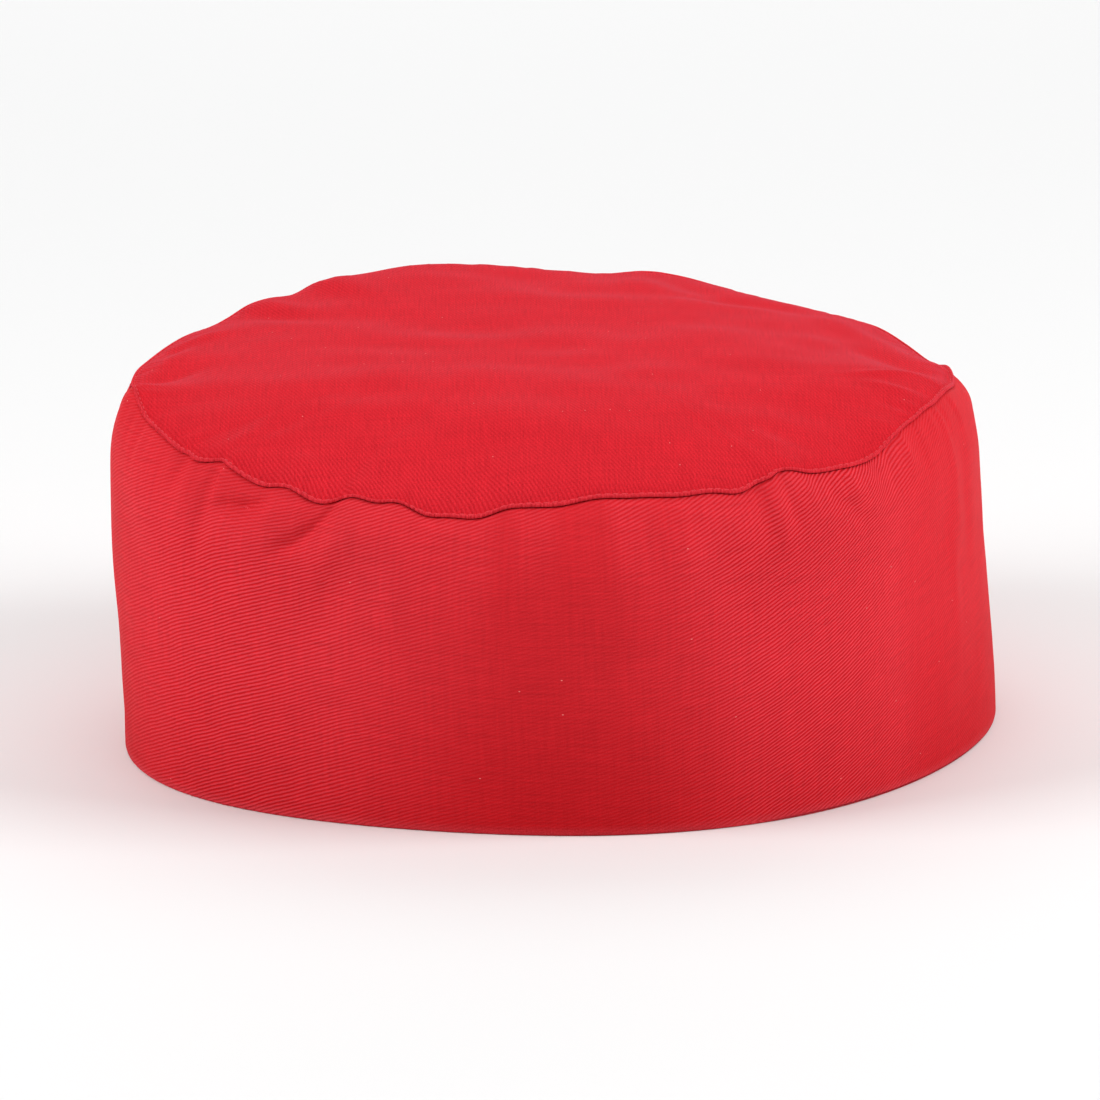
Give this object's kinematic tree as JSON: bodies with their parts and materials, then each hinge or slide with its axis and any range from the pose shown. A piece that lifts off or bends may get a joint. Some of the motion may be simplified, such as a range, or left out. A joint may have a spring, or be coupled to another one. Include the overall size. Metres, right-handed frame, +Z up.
{
  "type": "skull cap",
  "caption": "Soft skull cap: a tall hollow side band with a flat folded hem, closed by a round low-domed crown panel stitched to its top edge.",
  "frame": {"origin": "middle of the cap's plan box, on the plane of the hem that it rests on", "axes": "+Z up through the crown, -Y toward the front that the picture shows, +X to its right"},
  "size_m": [0.1937, 0.1949, 0.0856],
  "materials": {
    "side_band": "matt woven twill, warm red, diagonal rib",
    "crown": "matt woven twill, warm red, diagonal rib"
  },
  "bodies": {
    "root": {"side_band": "side_band", "crown": "crown"}
  },
  "joints": []
}
